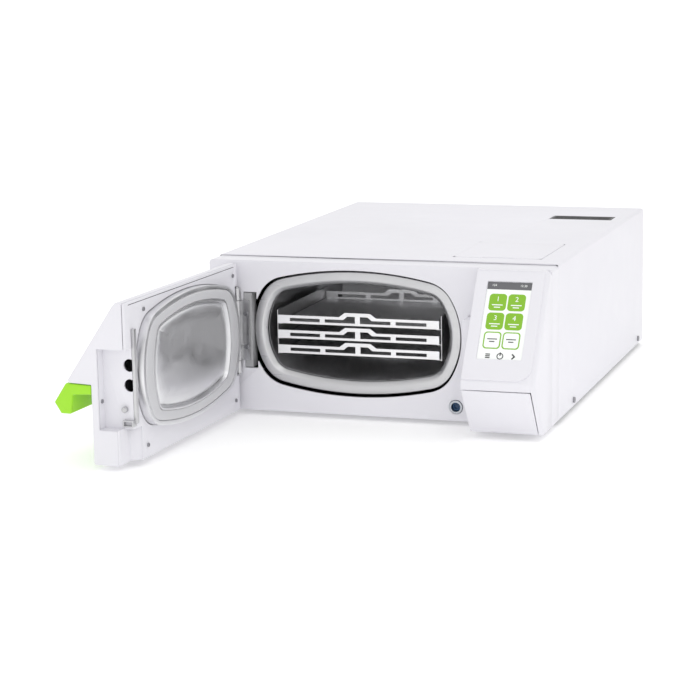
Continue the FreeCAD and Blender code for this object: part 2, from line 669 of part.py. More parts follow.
def make_front_port():
    body = new_body("front_port")
    cylinder(body, "Pad", "Y", "port_x", "port_z", "-1.2", "22", "port_radius")
    cylinder(body, "Pocket", "Y", "port_x", "port_z", "-2", "14", "port_radius - 2.4")


# ---------------------------------------------------------------- control fascia

def make_fascia():
    """The control fascia: a slanted face above a knee, and a chin that slopes back below it."""
    body = new_body("control_fascia")

    def section(sketch):
        draw_polygon(sketch, [("0", "0"), ("fascia_foot_y", "0"), ("fascia_knee_y", "flap_top + 1"),
                              ("fascia_knee_y", "fascia_knee_z"), ("-11", "body_height - frame_drop"),
                              ("0", "body_height - frame_drop")])

    def hollow(sketch):
        draw_polygon(sketch, [("1", "fascia_wall"), ("fascia_foot_y + 3", "fascia_wall"),
                              ("fascia_knee_y + 4", "flap_top + 2"),
                              ("fascia_knee_y + 4", "fascia_knee_z - 1"),
                              ("-9", "body_height - frame_drop - fascia_wall - 1"),
                              ("1", "body_height - frame_drop - fascia_wall")])
    shape_between(body, "Pad", "X", "fascia_left", "body_width - fascia_left", section)
    round_edges(body, "fascia_corner", lambda middle, step: middle.x > read("body_width") - 0.5
                and middle.y < -2 and middle.z > 1)
    shape_between(body, "Pocket", "X", "fascia_left + fascia_wall",
                  "body_width - fascia_left - 2 * fascia_wall", hollow)
    slope = "(fascia_knee_y + 11) / (body_height - frame_drop - fascia_knee_z)"

    def window(sketch):
        rise = "panel_height * 0.826 / 2 + 0.4"
        low, high = "panel_centre_z - (%s)" % rise, "panel_centre_z + (%s)" % rise
        face = "-11 + %s * (body_height - frame_drop - (%%s))" % slope
        front_low, front_high = face % low, face % high
        draw_polygon(sketch, [(front_low + " - 4", low + " + 2.7"), (front_high + " - 4", high + " + 2.7"),
                              (front_high + " + 6", high + " - 4.1"), (front_low + " + 6", low + " - 4.1")])
    shape_between(body, "Pocket", "X", "panel_x - panel_width / 2 - 0.3", "panel_width + 0.6", window)
    block(body, "Pocket", "fascia_left - 1", "fascia_knee_y - 1", "-1",
          "body_width - fascia_left - flap_inset + 1.3", "fascia_foot_y - fascia_knee_y + 5.5", "flap_top + 1")


def place_on_slope(item, height, sink):
    """Lay a flat piece, drawn round its own origin with Z outward, on the fascia's slanted face."""
    top_z = read("body_height") - read("frame_drop")
    rise = top_z - read("fascia_knee_z")
    run = -11 - read("fascia_knee_y")
    lean = math.degrees(math.atan2(run, rise))
    face_y = -11 - run * (top_z - height) / rise
    turn = FreeCAD.Rotation(Vector(1, 0, 0), 90 - lean)
    outward = turn.multVec(Vector(0, 0, 1))
    place = Vector(read("panel_x"), face_y, height) - outward * sink
    item.Placement = FreeCAD.Placement(place, turn)


def make_touch_panel():
    """Cover glass flush with the fascia, and the display module clipped behind it."""
    glass = new_body("touch_glass")
    block(glass, "Pad", "-panel_width / 2", "-panel_height / 2", "0", "panel_width", "panel_height",
          "glass_thickness")
    round_edges(glass, "4", lambda middle, step: along_axis(step, "z"))
    place_on_slope(glass, read("panel_centre_z"), read("glass_thickness") + 0.2)
    module = new_body("display_module")
    block(module, "Pad", "3 - panel_width / 2", "3 - panel_height / 2", "-9", "panel_width - 6",
          "panel_height - 6", "8.6")
    place_on_slope(module, read("panel_centre_z"), read("glass_thickness") + 0.4)


def make_flap():
    """The service flap that closes the chin of the fascia and tips down on two stub pins."""
    body = new_body("service_flap")

    def section(sketch):
        draw_polygon(sketch, [("fascia_foot_y", "0.8"), ("fascia_knee_y", "flap_top - 0.8"),
                              ("fascia_knee_y + flap_wall + 1", "flap_top - 0.8"),
                              ("fascia_foot_y + 2", "3"), ("fascia_foot_y + 2", "0.8")])
    shape_between(body, "Pad", "X", "fascia_left", "body_width - fascia_left - flap_inset - 0.5", section)


# ---------------------------------------------------------------- fill lid and water tanks

def make_fill_lid():
    body = new_body("fill_lid")
    block(body, "Pad", "fill_left", "fill_front", "body_height - fill_sheet + 0.4", "fill_width",
          "fill_length", "fill_sheet")
    round_edges(body, "8", lambda middle, step: along_axis(step, "z"))
    block(body, "Pocket", "fill_left + fill_width / 2 - 18", "fill_front - 1", "body_height - 0.6", "36",
          "5", "3")


def make_tanks():
    """The fresh water tank under the fill lid and the used water tank behind it."""
    for name, front, deep, tall in (("clean_water_tank", "fill_front - 8", "fill_length + 30", "150"),
                                    ("used_water_tank", "fill_front + fill_length + 34", "130", "110")):
        body = new_body(name)
        left = "chamber_x + chamber_half_width + 22"
        width = "body_width - sheet_metal - 3 - (%s)" % left
        block(body, "Pad", left, front, "sheet_metal + 1", width, deep, tall)
        block(body, "Pocket", left + " + 2.5", front + " + 2.5", "sheet_metal + 3.5",
              "%s - 5" % width, "%s - 5" % deep, "%s - 5" % tall)
        round_edges(body, "6", lambda middle, step: along_axis(step, "z") and abs(step.z) > 100)
        if name == "clean_water_tank":
            block(body, "Pocket", left + " + 12", front + " + 20", tall + " - 8", "60", "110", "20")
        cylinder(body, "Pad", "Z", left + " + 20", "%s + %s - 15" % (front, deep), tall, "8", "6")


# ---------------------------------------------------------------- machinery behind the chamber

def make_machinery():
    """Pump, boiler, condenser, supply and valves, each placed from the rear panel or the chamber."""
    rear = "frame_depth + cover_length - rear_clearance - %g"
    pump = new_body("vacuum_pump")
    block(pump, "Pad", "316", rear % 90.5, "sheet_metal", "64", "60", "58")
    cylinder(pump, "Pad", "X", rear % 60.5, "30", "298", "18", "22")
    cylinder(pump, "Pad", "Z", "330", rear % 74.5, "sheet_metal + 50", "22", "11")
    steam = new_body("steam_generator")
    cylinder(steam, "Pad", "Z", "190", rear % 118.5, "sheet_metal", "118", "34")
    cylinder(steam, "Pad", "Z", "190", rear % 118.5, "sheet_metal + 118", "10", "12")
    condenser = new_body("condenser")
    block(condenser, "Pad", "fan_x - 42", rear % 66.5, "fan_z - 42", "84", "36", "84")
    for fin in range(12):
        block(condenser, "Pocket", "fan_x - 39 + %d * 6.6" % fin, rear % 67.5, "fan_z - 38", "3.4",
              "38", "76")
    supply = new_body("power_supply")
    block(supply, "Pad", "12", rear % 202.5, "sheet_metal", "76", "116", "42")
    board = new_body("control_board")
    block(board, "Pad", "12", "60", "22", "1.6", "200", "120")
    for chip in range(3):
        block(board, "Pad", "13.6", "80 + %d * 55" % chip, "50", "12", "36", "40")
    valves = new_body("valve_block")
    beside = "chamber_x + chamber_half_width - %g"
    block(valves, "Pad", beside % 42.7, rear % 198.5, "20", "50", "34", "24")
    for valve in range(3):
        cylinder(valves, "Pad", "Z", beside % (33.7 - valve * 16), rear % 181.5, "44", "34", "7")
    relief = new_body("safety_valve")
    cylinder(relief, "Pad", "Y", "chamber_x", "chamber_z", "chamber_depth + chamber_wall + 0.2", "30", "9")
    cylinder(relief, "Pad", "Y", "chamber_x", "chamber_z", "chamber_depth + chamber_wall + 30", "14", "13")


def make_fan():
    """The rear fan: a square housing with a round bore and a hub, and its seven-bladed rotor."""
    rear = "frame_depth + cover_length - rear_clearance - fan_depth - 0.2"
    body = new_body("fan_housing")
    block(body, "Pad", "fan_x - fan_size / 2", rear, "fan_z - fan_size / 2", "fan_size", "fan_depth",
          "fan_size")
    cylinder(body, "Pocket", "Y", "fan_x", "fan_z", rear + " - 1", "fan_depth + 2", "fan_size / 2 - 3")
    block(body, "Pad", "fan_x - fan_size / 2 + 1", rear + " + fan_depth - 3", "fan_z - 2.5",
          "fan_size - 2", "3", "5")
    cylinder(body, "Pad", "Y", "fan_x", "fan_z", rear + " + fan_depth - 3", "3", "15")
    cylinder(body, "Pad", "Y", "fan_x", "fan_z", rear + " + fan_depth - 12", "10", "2")
    start = read("frame_depth") + read("cover_length") - read("rear_clearance") - read("fan_depth") + 2.8
    centre = Vector(read("fan_x"), start, read("fan_z"))
    turn_axis = Vector(0, 1, 0)
    hub = Part.makeCylinder(15, 16, centre, turn_axis)
    blade_reach = read("fan_size") / 2 - 5
    rotor = hub
    for blade in range(7):
        plate = Part.makeBox(blade_reach - 13, 12, 2, Vector(13, 0, -1))
        plate.rotate(Vector(20, 6, 0), Vector(1, 0, 0), 38)
        plate.rotate(Vector(0, 0, 0), turn_axis, blade * 360 / 7)
        plate.translate(centre + Vector(0, 2, 0))
        rotor = rotor.fuse(plate)
    shaft_hole = Part.makeCylinder(2 + read("running_gap"), 20, centre + Vector(0, 8, 0), turn_axis)
    new_feature("fan_rotor", rotor.cut(shaft_hole).removeSplitter())


def make_rear_fittings():
    """Power inlet with its rocker switch, the two hose connectors and the air filter."""
    rear = "frame_depth + cover_length - rear_clearance"
    inlet = new_body("power_inlet")
    block(inlet, "Pad", "300.3", rear + " - 22", "24.3", "47.4", "22", "27.4")
    block(inlet, "Pad", "297", rear + " + sheet_metal + 0.1", "21", "54", "2.5", "34")
    block(inlet, "Pad", "300.3", rear + " - 0.5", "24.3", "47.4", "sheet_metal + 1", "27.4")
    block(inlet, "Pocket", "303.5", rear + " - 16", "27", "25", "30", "20")
    block(inlet, "Pocket", "333", rear + " - 8", "27.5", "11", "30", "21")
    rocker = new_body("power_switch")
    block(rocker, "Pad", "333.5", rear + " - 2", "28.5", "10", "6.6", "19")
    for name, across in (("drain_connector", 222), ("water_connector", 258)):
        body = new_body(name)
        cylinder(body, "Pad", "Y", str(across), "42", rear + " - 12", "28", "8")
        cylinder(body, "Pad", "Y", str(across), "42", rear + " + sheet_metal + 0.1", "4", "11")
        cylinder(body, "Pocket", "Y", str(across), "42", rear + " - 13", "40", "4")
    filter_body = new_body("air_filter")
    cylinder(filter_body, "Pad", "Y", "330", "112", rear + " - 14", "26", "23")
    cylinder(filter_body, "Pad", "Y", "330", "112", rear + " - 34", "22", "8")


def make_rear_screws():
    solids = []
    rear = read("frame_depth") + read("cover_length") - read("rear_clearance") + read("sheet_metal")
    for across in (20, read("body_width") / 2, read("body_width") - 20):
        for tall in (20, read("body_height") - 14):
            solids.append(button_screw(Vector(across, rear, tall), Vector(0, -1, 0), 3, 6))
    grouped("rear_screws", solids)


# ---------------------------------------------------------------- building it all

def open_the_door():
    """Turn every door piece about the hinge pin, from shut to the angle it stands open at."""
    axis = Vector(read("hinge_x"), read("hinge_y"), 0)
    swing = FreeCAD.Placement(Vector(0, 0, 0), FreeCAD.Rotation(Vector(0, 0, 1), -read("open_angle")), axis)
    for item in door_parts:
        item.Placement = swing.multiply(item.Placement)


def stand_on_floor():
    """Move everything so that the origin is the middle of the footprint, on the floor."""
    box = FreeCAD.BoundBox()
    for item in parts:
        box.add(item.Shape.BoundBox)
    shift = Vector(-round(box.Center.x, 1), -round(box.Center.y, 1), read("foot_height"))
    for item in parts:
        item.Placement = FreeCAD.Placement(shift, FreeCAD.Rotation()).multiply(item.Placement)
    return shift


make_base_pan()
make_outer_cover()
make_vent_grille()
make_rear_panel()
make_front_frame()
make_feet()
make_cover_screws()
make_chamber()
make_rack()
for tray in range(3):
    make_tray(tray)
make_door_cover()
make_door_panel()
make_lid()
make_door_bridge()
make_door_hinge()
make_handle()
make_door_screws()
make_fixed_hinge()
make_lock()
make_front_port()
make_fascia()
make_touch_panel()
make_flap()
make_fill_lid()
make_tanks()
make_machinery()
make_fan()
make_rear_fittings()
make_rear_screws()
doc.recompute()
open_the_door()
doc.recompute()
moved = stand_on_floor()
doc.recompute()

for item in doc.Objects:
    if "Invalid" in item.State or "Error" in item.State:
        raise RuntimeError("%s did not build: %s" % (item.Label, item.State))
for item in parts:
    if item.Shape.isNull() or not item.Shape.isValid():
        raise RuntimeError("%s has no valid shape" % item.Label)

os.makedirs("parts", exist_ok=True)
for item in parts:
    item.Shape.exportStep(os.path.join("parts", item.Label + ".step"))
print("moved by", moved)
print(len(parts), "sub-parts written")
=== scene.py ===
import json
import math
import bpy
from mathutils import Matrix, Vector

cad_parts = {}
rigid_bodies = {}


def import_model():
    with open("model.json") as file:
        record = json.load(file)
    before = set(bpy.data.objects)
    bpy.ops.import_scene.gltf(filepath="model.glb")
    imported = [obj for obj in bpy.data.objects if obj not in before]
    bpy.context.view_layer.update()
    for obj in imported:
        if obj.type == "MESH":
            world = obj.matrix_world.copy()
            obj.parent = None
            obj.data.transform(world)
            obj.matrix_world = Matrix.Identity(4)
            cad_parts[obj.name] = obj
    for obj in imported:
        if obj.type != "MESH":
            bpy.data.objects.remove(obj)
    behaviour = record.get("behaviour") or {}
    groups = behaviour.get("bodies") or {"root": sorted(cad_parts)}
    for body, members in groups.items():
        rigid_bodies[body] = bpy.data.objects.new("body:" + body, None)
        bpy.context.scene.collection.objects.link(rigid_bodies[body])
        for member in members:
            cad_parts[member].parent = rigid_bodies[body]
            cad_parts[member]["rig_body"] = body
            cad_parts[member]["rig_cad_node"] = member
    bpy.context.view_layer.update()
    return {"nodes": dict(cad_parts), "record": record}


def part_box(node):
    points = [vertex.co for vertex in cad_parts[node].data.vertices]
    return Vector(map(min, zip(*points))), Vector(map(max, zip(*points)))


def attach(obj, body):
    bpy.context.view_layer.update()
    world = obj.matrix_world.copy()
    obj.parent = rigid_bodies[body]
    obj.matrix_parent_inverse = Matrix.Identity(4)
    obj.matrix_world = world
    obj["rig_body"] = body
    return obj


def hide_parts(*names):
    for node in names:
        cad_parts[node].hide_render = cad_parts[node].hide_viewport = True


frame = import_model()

MM = 0.001
nodes = frame["nodes"]


# ---------------------------------------------------------------- shared surface effects

def link(tree, source, target):
    tree.links.new(source, target)


def new_group(name, inputs, outputs):
    """A shader node group with float or vector inputs and the outputs named."""
    group = bpy.data.node_groups.new(name, "ShaderNodeTree")
    for label, kind, value in inputs:
        socket = group.interface.new_socket(label, in_out="INPUT", socket_type=kind)
        if value is not None:
            socket.default_value = value
    for label, kind in outputs:
        group.interface.new_socket(label, in_out="OUTPUT", socket_type=kind)
    return group, group.nodes.new("NodeGroupInput"), group.nodes.new("NodeGroupOutput")


def build_grain_group():
    """Fine moulded or powder-coated grain: a height, a tone that drifts slowly and a roughness mask."""
    group, given, result = new_group(
        "surface_grain",
        [("Grain scale", "NodeSocketFloat", 900.0), ("Drift scale", "NodeSocketFloat", 6.0)],
        [("Height", "NodeSocketFloat"), ("Drift", "NodeSocketFloat"), ("Smudge", "NodeSocketFloat")])
    place = group.nodes.new("ShaderNodeTexCoord")
    grain = group.nodes.new("ShaderNodeTexNoise")
    grain.inputs["Detail"].default_value = 3
    grain.inputs["Roughness"].default_value = 0.6
    drift = group.nodes.new("ShaderNodeTexNoise")
    drift.inputs["Detail"].default_value = 2
    smudge = group.nodes.new("ShaderNodeTexNoise")
    smudge.inputs["Scale"].default_value = 38
    smudge.inputs["Detail"].default_value = 5
    for texture in (grain, drift, smudge):
        link(group, place.outputs["Object"], texture.inputs["Vector"])
    link(group, given.outputs["Grain scale"], grain.inputs["Scale"])
    link(group, given.outputs["Drift scale"], drift.inputs["Scale"])
    link(group, grain.outputs["Fac"], result.inputs["Height"])
    link(group, drift.outputs["Fac"], result.inputs["Drift"])
    link(group, smudge.outputs["Fac"], result.inputs["Smudge"])
    return group


def build_brush_group():
    """Rolling and polishing lines in sheet metal, stretched along one direction."""
    group, given, result = new_group(
        "brushed_lines",
        [("Stretch", "NodeSocketVector", (4.0, 400.0, 400.0)), ("Blotch scale", "NodeSocketFloat", 14.0)],
        [("Lines", "NodeSocketFloat"), ("Blotch", "NodeSocketFloat")])
    place = group.nodes.new("ShaderNodeTexCoord")
    stretch = group.nodes.new("ShaderNodeVectorMath")
    stretch.operation = "MULTIPLY"
    lines = group.nodes.new("ShaderNodeTexNoise")
    lines.inputs["Scale"].default_value = 1
    lines.inputs["Detail"].default_value = 4
    blotch = group.nodes.new("ShaderNodeTexNoise")
    blotch.inputs["Detail"].default_value = 3
    link(group, place.outputs["Object"], stretch.inputs[0])
    link(group, given.outputs["Stretch"], stretch.inputs[1])
    link(group, stretch.outputs["Vector"], lines.inputs["Vector"])
    link(group, place.outputs["Object"], blotch.inputs["Vector"])
    link(group, given.outputs["Blotch scale"], blotch.inputs["Scale"])
    link(group, lines.outputs["Fac"], result.inputs["Lines"])
    link(group, blotch.outputs["Fac"], result.inputs["Blotch"])
    return group


GRAIN = build_grain_group()
BRUSH = build_brush_group()
NOISE_LOW = 0.3
NOISE_HIGH = 0.7


def start_material(name):
    material = bpy.data.materials.new(name)
    material.use_nodes = True
    shader = material.node_tree.nodes["Principled BSDF"]
    return material, material.node_tree, shader


def add_range(tree, source, low, high, target):
    """Spread the middle of a noise's range over low to high and feed it to a socket."""
    spread = tree.nodes.new("ShaderNodeMapRange")
    spread.inputs["From Min"].default_value = NOISE_LOW
    spread.inputs["From Max"].default_value = NOISE_HIGH
    spread.inputs["To Min"].default_value = low
    spread.inputs["To Max"].default_value = high
    link(tree, source, spread.inputs["Value"])
    link(tree, spread.outputs["Result"], target)


def add_tone(tree, source, dark, light, target):
    """Blend two close tones by a mask."""
    ramp = tree.nodes.new("ShaderNodeValToRGB")
    ramp.color_ramp.elements[0].position = NOISE_LOW
    ramp.color_ramp.elements[0].color = (*dark, 1)
    ramp.color_ramp.elements[1].position = NOISE_HIGH
    ramp.color_ramp.elements[1].color = (*light, 1)
    link(tree, source, ramp.inputs["Fac"])
    link(tree, ramp.outputs["Color"], target)


def add_bump(tree, source, shader, strength, distance):
    bump = tree.nodes.new("ShaderNodeBump")
    bump.inputs["Strength"].default_value = strength
    bump.inputs["Distance"].default_value = distance
    link(tree, source, bump.inputs["Height"])
    link(tree, bump.outputs["Normal"], shader.inputs["Normal"])


def shade(colour, share):
    return tuple(channel * share for channel in colour)


def coated_material(name, colour, rough, grain_scale, grain_depth, drift=0.03, coat=0.0):
    """Paint, moulded plastic, rubber or felt: one tone that drifts, with grain in it."""
    material, tree, shader = start_material(name)
    surface = tree.nodes.new("ShaderNodeGroup")
    surface.node_tree = GRAIN
    surface.inputs["Grain scale"].default_value = grain_scale
    add_tone(tree, surface.outputs["Drift"], shade(colour, 1 - drift), colour, shader.inputs["Base Color"])
    add_range(tree, surface.outputs["Smudge"], rough - 0.04, rough + 0.05, shader.inputs["Roughness"])
    add_bump(tree, surface.outputs["Height"], shader, 0.25, grain_depth)
    shader.inputs["Coat Weight"].default_value = coat
    shader.inputs["Coat Roughness"].default_value = 0.12
    return material


def metal_material(name, colour, rough, stretch, line_depth=0.00002, blotch=0.05):
    """Bare metal with lines along its rolling direction and faint handling blotches."""
    material, tree, shader = start_material(name)
    surface = tree.nodes.new("ShaderNodeGroup")
    surface.node_tree = BRUSH
    surface.inputs["Stretch"].default_value = stretch
    add_tone(tree, surface.outputs["Blotch"], shade(colour, 1 - blotch), colour,
             shader.inputs["Base Color"])
    add_range(tree, surface.outputs["Lines"], rough * 0.8, rough * 1.25, shader.inputs["Roughness"])
    add_bump(tree, surface.outputs["Lines"], shader, 0.2, line_depth)
    shader.inputs["Metallic"].default_value = 1.0
    return material


def lit_material(name, colour, glow):
    """A lit area of the display under its glass, with the faint cell pattern of the panel."""
    material, tree, shader = start_material(name)
    place = tree.nodes.new("ShaderNodeTexCoord")
    cells = tree.nodes.new("ShaderNodeTexNoise")
    cells.inputs["Scale"].default_value = 2500
    link(tree, place.outputs["Object"], cells.inputs["Vector"])
    add_tone(tree, cells.outputs["Fac"], shade(colour, 0.94), colour, shader.inputs["Base Color"])
    add_tone(tree, cells.outputs["Fac"], shade(colour, 0.94), colour, shader.inputs["Emission Color"])
    shader.inputs["Emission Strength"].default_value = glow
    shader.inputs["Roughness"].default_value = 0.25
    return material


FINISH = {
    "housing_paint": coated_material("housing_powder_coat", (0.79, 0.782, 0.825), 0.42, 700, 0.00006),
    "moulded_white": coated_material("white_moulding", (0.78, 0.772, 0.815), 0.36, 1500, 0.00003),
    "handle_green": coated_material("lime_moulding", (0.36, 0.77, 0.02), 0.34, 1400, 0.00003, 0.08),
    "silicone_seal": coated_material("silicone_seal", (0.60, 0.60, 0.62), 0.40, 600, 0.00002, 0.05),
    "dark_plastic": coated_material("black_moulding", (0.018, 0.018, 0.020), 0.42, 1200, 0.00004, 0.15),
    "dark_metal": coated_material("grey_coated_steel", (0.42, 0.42, 0.43), 0.4, 800, 0.00003, 0.06),
    "foot_rubber": coated_material("foot_rubber", (0.02, 0.02, 0.02), 0.7, 500, 0.0001, 0.2),
    "tank_plastic": coated_material("tank_polyethylene", (0.68, 0.73, 0.78), 0.5, 300, 0.0001, 0.08),
    "board_green": coated_material("circuit_board", (0.01, 0.12, 0.04), 0.3, 400, 0.00005, 0.3),
    "heater_mat": coated_material("heater_mat", (0.40, 0.08, 0.03), 0.6, 400, 0.0001, 0.2),
    "jacket_foam": coated_material("glass_fibre_felt", (0.72, 0.71, 0.62), 0.9, 250, 0.0006, 0.15),
    "polished_steel": metal_material("polished_steel", (0.80, 0.80, 0.815), 0.36, (30, 30, 60), 0.000001),
    "satin_steel": metal_material("satin_steel", (0.60, 0.60, 0.61), 0.34, (12, 300, 300), 0.000001),
    "pin_steel": metal_material("ground_steel", (0.52, 0.52, 0.53), 0.25, (400, 400, 20), 0.000003),
    "screw_steel": metal_material("plated_screws", (0.35, 0.35, 0.37), 0.35, (200, 200, 200)),
    "tray_metal": metal_material("tray_aluminium", (0.88, 0.88, 0.89), 0.40, (8, 240, 240), 0.000002),
    "port_metal": metal_material("port_nickel", (0.50, 0.52, 0.55), 0.22, (150, 150, 150)),
    "pan_metal": metal_material("galvanised_sheet", (0.50, 0.51, 0.52), 0.4, (30, 30, 30), 0.00003, 0.25),
    "brass_fitting": metal_material("brass_fitting", (0.62, 0.42, 0.14), 0.3, (150, 150, 150)),
    "boiler_steel": metal_material("boiler_steel", (0.45, 0.45, 0.46), 0.32, (200, 200, 12)),
    "display_glass": coated_material("printed_cover_glass", (0.80, 0.81, 0.84), 0.12, 2000, 0.000004,
                                     0.02, 0.6),
}


def slot_of(node):
    """The record's material slot of a CAD node."""
    for subpart in frame["record"]["subparts"]:
        if subpart["node"] == node:
            return subpart["material_slot"]
    raise KeyError(node)


def give_finish(piece, material):
    piece.data.materials.clear()
    piece.data.materials.append(material)


for name, node in nodes.items():
    give_finish(node, FINISH[slot_of(name)])


# ---------------------------------------------------------------- working on pieces by hand

def pick_none():
    for other in bpy.context.selected_objects:
        other.select_set(False)


def pick_only(piece):
    pick_none()
    piece.select_set(True)
    bpy.context.view_layer.objects.active = piece


MERGE_DISTANCE = 0.000005
FLAT_ANGLE = math.radians(0.6)
BEVEL_ANGLE = math.radians(32)
SHARP_ANGLE = math.radians(30)
ROUND_SHARP_ANGLE = math.radians(35)
CURVED = ("chamber_vessel", "chamber_flange", "pressure_lid", "lid_seal")


def soften(node, width):
    """A copy of a CAD piece with its seams merged and its edges rounded, standing in for it."""
    pick_only(nodes[node])
    bpy.ops.object.duplicate()
    piece = bpy.context.active_object
    piece.name = node + "_finished"
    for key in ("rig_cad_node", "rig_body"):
        if key in piece:
            del piece[key]
    piece.parent = None
    bpy.ops.object.mode_set(mode="EDIT")
    bpy.ops.mesh.select_all(action="SELECT")
    bpy.ops.mesh.remove_doubles(threshold=MERGE_DISTANCE)
    if node not in CURVED:
        bpy.ops.mesh.dissolve_limited(angle_limit=FLAT_ANGLE)
    bpy.ops.object.mode_set(mode="OBJECT")
    bevel = piece.modifiers.new("edge_rounding", "BEVEL")
    bevel.width = width
    bevel.segments = 3
    bevel.limit_method = "ANGLE"
    bevel.angle_limit = BEVEL_ANGLE
    bevel.use_clamp_overlap = True
    bpy.ops.object.modifier_apply(modifier=bevel.name)
    bpy.ops.object.shade_smooth_by_angle(angle=SHARP_ANGLE)
    finish_piece(piece, node_body(node), FINISH[slot_of(node)])
    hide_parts(node)


def node_body(node):
    for body, members in frame["record"]["behaviour"]["bodies"].items():
        if node in members:
            return body
    raise KeyError(node)


def finish_piece(piece, body, material):
    give_finish(piece, material)
    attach(piece, body)


# ---------------------------------------------------------------- new pieces

def new_block(centre, size):
    """A block with its sides along the axes, its place in its mesh, left in object mode."""
    pick_none()
    bpy.ops.mesh.primitive_cube_add(size=1, location=Vector(centre) * MM, scale=Vector(size) * MM)
    piece = bpy.context.active_object
    bpy.ops.object.transform_apply(location=True, rotation=True, scale=True)
    return piece


def new_rod(centre, axis, radius, length, sides=32):
    """A rod along one axis, its place in its mesh, left in object mode."""
    pick_none()
    turn = {"X": (0, math.pi / 2, 0), "Y": (math.pi / 2, 0, 0), "Z": (0, 0, 0)}[axis]
    bpy.ops.mesh.primitive_cylinder_add(vertices=sides, radius=radius * MM, depth=length * MM,
                                        location=Vector(centre) * MM, rotation=turn)
    piece = bpy.context.active_object
    bpy.ops.object.transform_apply(location=True, rotation=True, scale=True)
    return piece


def pick_edges(piece, wanted):
    """Go to edit mode with only the edges selected whose two ends satisfy wanted."""
    pick_only(piece)
    bpy.ops.object.mode_set(mode="EDIT")
    bpy.ops.mesh.select_mode(type="EDGE")
    bpy.ops.mesh.select_all(action="DESELECT")
    bpy.ops.object.mode_set(mode="OBJECT")
    points = piece.data.vertices
    for edge in piece.data.edges:
        first, second = (points[number].co for number in edge.vertices)
        edge.select = wanted(first, second)
    bpy.ops.object.mode_set(mode="EDIT")


def pick_faces(piece, wanted):
    """Go to edit mode with only the faces selected whose middle and normal satisfy wanted."""
    pick_only(piece)
    bpy.ops.object.mode_set(mode="EDIT")
    bpy.ops.mesh.select_mode(type="FACE")
    bpy.ops.mesh.select_all(action="DESELECT")
    bpy.ops.object.mode_set(mode="OBJECT")
    for face in piece.data.polygons:
        face.select = wanted(face.center, face.normal)
    bpy.ops.object.mode_set(mode="EDIT")


def bevel_picked(width, segments):
    bpy.ops.mesh.bevel(offset=width * MM, segments=segments, profile=0.5, affect="EDGES",
                       clamp_overlap=True)
    bpy.ops.object.mode_set(mode="OBJECT")


def round_all(piece, width, segments=3):
    bevel = piece.modifiers.new("edge_rounding", "BEVEL")
    bevel.width = width * MM
    bevel.segments = segments
    bevel.limit_method = "ANGLE"
    pick_only(piece)
    bpy.ops.object.modifier_apply(modifier=bevel.name)
    bpy.ops.object.shade_smooth_by_angle(angle=ROUND_SHARP_ANGLE)


def settle(piece, name, matrix, body, material):
    """Set a piece, drawn in millimetres round its own axes, where it belongs on the machine."""
    piece.name = name
    piece.data.transform(matrix)
    piece.data.update()
    finish_piece(piece, body, material)


# ---------------------------------------------------------------- where the machine's own axes lie

FRAME_DEPTH = 31.5
HINGE = (34.7, -5)
OPEN_TURN = -92.52
FACE_RUN = 75
FACE_RISE = 109.5
FACE_TOP = (-11, 173.5)
PANEL_MIDDLE = (358.2, 124)
LEAN = math.atan2(FACE_RUN, FACE_RISE)
FACE_Y = FACE_TOP[0] - FACE_RUN * (FACE_TOP[1] - PANEL_MIDDLE[1]) / FACE_RISE

TO_ROW = Matrix.Translation(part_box("outer_cover")[0] - Vector((0, FRAME_DEPTH * MM, 0)))
SWING = (Matrix.Translation(Vector((*HINGE, 0)) * MM) @ Matrix.Rotation(math.radians(OPEN_TURN), 4, "Z")
         @ Matrix.Translation(Vector((*HINGE, 0)) * -MM))
TO_OPEN_DOOR = TO_ROW @ SWING


# ---------------------------------------------------------------- softened CAD pieces

# Metres, as every CAD piece is.
EDGE_WIDTHS = {
    "outer_cover": 0.0004, "front_frame": 0.0012, "door_cover": 0.0012, "door_panel": 0.0009,
    "control_fascia": 0.0013, "service_flap": 0.0012, "door_handle": 0.0018, "fill_lid": 0.0006,
    "lock_housing": 0.0012, "chamber_flange": 0.0011, "chamber_vessel": 0.0003, "pressure_lid": 0.0008,
    "lid_seal": 0.0014, "hinge_leaf": 0.0004, "hinge_knuckles": 0.0004, "hinge_bracket": 0.0006,
    "latch_plate": 0.0004, "front_port": 0.0004, "touch_glass": 0.0003, "rubber_feet": 0.0008,
    "vent_grille": 0.0004, "rear_panel": 0.0003, "power_inlet": 0.0006, "power_switch": 0.0008,
    "air_filter": 0.0010, "drain_connector": 0.0006, "water_connector": 0.0006, "fan_rotor": 0.0003,
    "fan_housing": 0.0006, "cover_screws": 0.0003, "door_screws": 0.0002, "hinge_screws": 0.0002,
    "rear_screws": 0.0003, "lock_bolt_upper": 0.0004, "lock_bolt_lower": 0.0004,
}
for name, width in EDGE_WIDTHS.items():
    soften(name, width)


# ---------------------------------------------------------------- touch display

PANEL_SINK = 0.2
PANEL_PLACE = (TO_ROW @ Matrix.Translation(Vector((PANEL_MIDDLE[0], FACE_Y, PANEL_MIDDLE[1])) * MM)
               @ Matrix.Rotation(math.pi / 2 - LEAN, 4, "X")
               @ Matrix.Translation((0, 0, -PANEL_SINK * MM)))
SCREEN_WIDTH = 49
SCREEN_HEIGHT = 91
TILE_WIDTH = 19.3
TILE_HEIGHT = 20
TILE_RIM = 2.8
BAR_HEIGHT = 8.8
FOOT_ROW = -41.6
COLUMNS = (-10.7, 10.2)
ROWS = (21.5, -0.9, -23.3)
LIT_WHITE = lit_material("display_white", (0.86, 0.88, 0.86), 0.14)
LIT_GREEN = lit_material("display_green", (0.22, 0.47, 0.02), 0.10)
LIT_GREY = lit_material("display_grey", (0.13, 0.13, 0.14), 0.05)
LIT_DARK = lit_material("display_dark", (0.05, 0.05, 0.055), 0.0)


